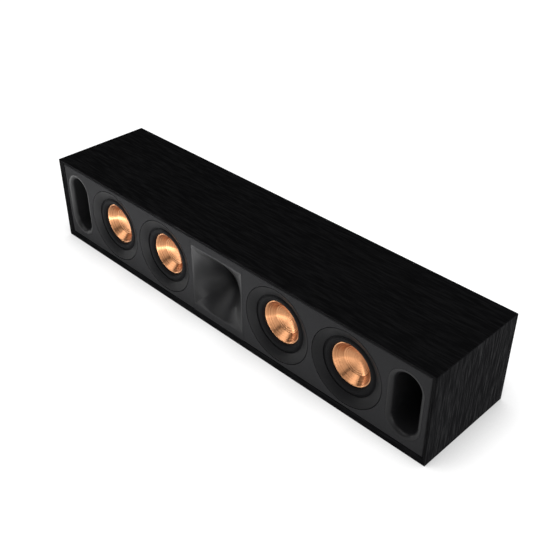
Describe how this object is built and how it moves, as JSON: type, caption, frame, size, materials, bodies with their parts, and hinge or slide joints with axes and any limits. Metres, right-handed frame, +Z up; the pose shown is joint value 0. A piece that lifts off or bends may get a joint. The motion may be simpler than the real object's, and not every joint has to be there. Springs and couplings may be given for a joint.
{
  "type": "center channel speaker",
  "caption": "Long low passive loudspeaker with copper coloured woofers either side of a square horn, obround end ports and a rear terminal cup.",
  "frame": {"origin": "middle of the underside that the cabinet rests on", "axes": "+X along the width, front towards -Y, +Z up"},
  "size_m": [0.66, 0.147, 0.125],
  "materials": {
    "vinyl": "black ash vinyl on board, satin",
    "back_vinyl": "black vinyl on board, satin",
    "bare_board": "bare fibreboard",
    "baffle": "satin charcoal film on board",
    "trim": "moulded, fine matt texture",
    "horn": "moulded, smooth satin",
    "port": "moulded, smooth satin",
    "rubber": "moulded, matt",
    "copper_cone": "spun copper look, brushed round",
    "basket": "black paint on stamped steel",
    "coil": "wound wire on a former",
    "spider": "pressed treated cloth",
    "motor_steel": "zinc plated",
    "ferrite": "sintered, ground",
    "dome": "pressed foil, black anodised",
    "film": "formed amber film",
    "cup": "moulded, fine matt texture",
    "post_brass": "turned, gold flashed",
    "red_plastic": "moulded, satin",
    "black_plastic": "moulded, satin",
    "circuit": "green solder mask",
    "copper_wire": "enamelled wire",
    "can": "sleeved cans",
    "lead": "extruded sheath",
    "screw": "black zinc"
  },
  "bodies": {
    "cabinet": {"back_panel": "back_vinyl", "black_post": "post_brass", "bottom_panel": "vinyl", "cabinet_braces": "bare_board", "crossover_board": "circuit", "crossover_capacitors": "can", "crossover_inductors": "copper_wire", "front_baffle": "baffle", "horn": "horn", "internal_leads": "lead", "left_panel": "vinyl", "left_port": "port", "post_nuts": "post_brass", "red_post": "post_brass", "right_panel": "vinyl", "right_port": "port", "screws": "screw", "terminal_cup": "cup", "top_panel": "vinyl", "tweeter_magnet": "ferrite", "tweeter_suspension": "film", "tweeter_top_plate": "motor_steel", "tweeter_yoke": "motor_steel", "woofer_1_basket": "basket", "woofer_1_spider": "spider", "woofer_1_surround": "rubber", "woofer_1_trim_ring": "trim", "woofer_2_basket": "basket", "woofer_2_spider": "spider", "woofer_2_surround": "rubber", "woofer_2_trim_ring": "trim", "woofer_3_basket": "basket", "woofer_3_spider": "spider", "woofer_3_surround": "rubber", "woofer_3_trim_ring": "trim", "woofer_4_basket": "basket", "woofer_4_spider": "spider", "woofer_4_surround": "rubber", "woofer_4_trim_ring": "trim", "woofer_magnets": "ferrite", "woofer_top_plates": "motor_steel", "woofer_yokes": "motor_steel"},
    "woofer_1_diaphragm": {"woofer_1_cone": "copper_cone", "woofer_1_dust_cap": "copper_cone", "woofer_1_voice_coil": "coil"},
    "woofer_2_diaphragm": {"woofer_2_cone": "copper_cone", "woofer_2_dust_cap": "copper_cone", "woofer_2_voice_coil": "coil"},
    "woofer_3_diaphragm": {"woofer_3_cone": "copper_cone", "woofer_3_dust_cap": "copper_cone", "woofer_3_voice_coil": "coil"},
    "woofer_4_diaphragm": {"woofer_4_cone": "copper_cone", "woofer_4_dust_cap": "copper_cone", "woofer_4_voice_coil": "coil"},
    "tweeter_diaphragm": {"tweeter_dome": "dome", "tweeter_voice_coil": "coil"},
    "red_thread": {"red_insert": "post_brass"},
    "red_grip": {"red_knob": "red_plastic"},
    "black_thread": {"black_insert": "post_brass"},
    "black_grip": {"black_knob": "black_plastic"}
  },
  "joints": [
    {"name": "woofer_1_travel", "type": "slide", "parent": "cabinet", "child": "woofer_1_diaphragm", "axis": [0, 1, 0], "range_m": [-0.003, 0.003], "stiffness_N_per_m": 1000, "deforming": ["woofer_1_surround", "woofer_1_spider"]},
    {"name": "woofer_2_travel", "type": "slide", "parent": "cabinet", "child": "woofer_2_diaphragm", "axis": [0, 1, 0], "range_m": [-0.003, 0.003], "stiffness_N_per_m": 1000, "deforming": ["woofer_2_surround", "woofer_2_spider"]},
    {"name": "woofer_3_travel", "type": "slide", "parent": "cabinet", "child": "woofer_3_diaphragm", "axis": [0, 1, 0], "range_m": [-0.003, 0.003], "stiffness_N_per_m": 1000, "deforming": ["woofer_3_surround", "woofer_3_spider"]},
    {"name": "woofer_4_travel", "type": "slide", "parent": "cabinet", "child": "woofer_4_diaphragm", "axis": [0, 1, 0], "range_m": [-0.003, 0.003], "stiffness_N_per_m": 1000, "deforming": ["woofer_4_surround", "woofer_4_spider"]},
    {"name": "tweeter_travel", "type": "slide", "parent": "cabinet", "child": "tweeter_diaphragm", "axis": [0, 1, 0], "range_m": [-0.0003, 0.0003], "stiffness_N_per_m": 1500, "deforming": ["tweeter_suspension"]},
    {"name": "red_knob_lift", "type": "slide", "parent": "cabinet", "child": "red_thread", "axis": [0, 1, 0], "range_m": [0, 0.004]},
    {"name": "red_knob_turn", "type": "hinge", "parent": "red_thread", "child": "red_grip", "pos_m": [-0.0095, 0.0585, 0.0625], "axis": [0, 1, 0], "range_deg": [0, 1440]},
    {"name": "black_knob_lift", "type": "slide", "parent": "cabinet", "child": "black_thread", "axis": [0, 1, 0], "range_m": [0, 0.004]},
    {"name": "black_knob_turn", "type": "hinge", "parent": "black_thread", "child": "black_grip", "pos_m": [0.0095, 0.0585, 0.0625], "axis": [0, 1, 0], "range_deg": [0, 1440]}
  ],
  "couplings": [
    {"joint": "red_knob_turn", "follows": "red_knob_lift", "rad_per_m": 6283.2},
    {"joint": "black_knob_turn", "follows": "black_knob_lift", "rad_per_m": 6283.2}
  ]
}
